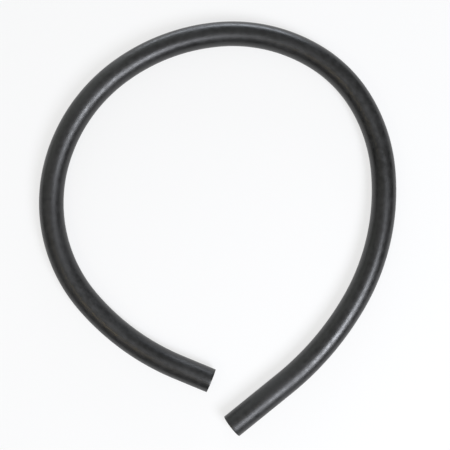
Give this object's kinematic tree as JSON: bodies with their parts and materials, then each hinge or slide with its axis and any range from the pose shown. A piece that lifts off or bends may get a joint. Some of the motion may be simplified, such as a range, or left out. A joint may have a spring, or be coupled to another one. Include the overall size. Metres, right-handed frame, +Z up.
{
  "type": "siphon pump hose",
  "caption": "Bare black rubber hose for a hand bulb siphon pump: lined and yarn-reinforced wall, square-cut ends, lying flat in an open ring.",
  "frame": {"origin": "on the surface that the hose lies on, under the middle of the ring's extent", "axes": "+Z up; seen from above, +Y points away from the two cut ends and +X to the side on which the hose turns towards its front end"},
  "size_m": [0.2008, 0.2328, 0.0137],
  "materials": {
    "lining": "smooth matte black rubber",
    "yarn": "undyed textile yarn soaked with rubber cement",
    "cover": "satin black rubber with a faint wrapped-cloth grain"
  },
  "bodies": {
    "root": {"inner_tube": "lining", "yarn_ply_inner": "yarn", "yarn_ply_outer": "yarn", "cover": "cover"}
  },
  "joints": []
}
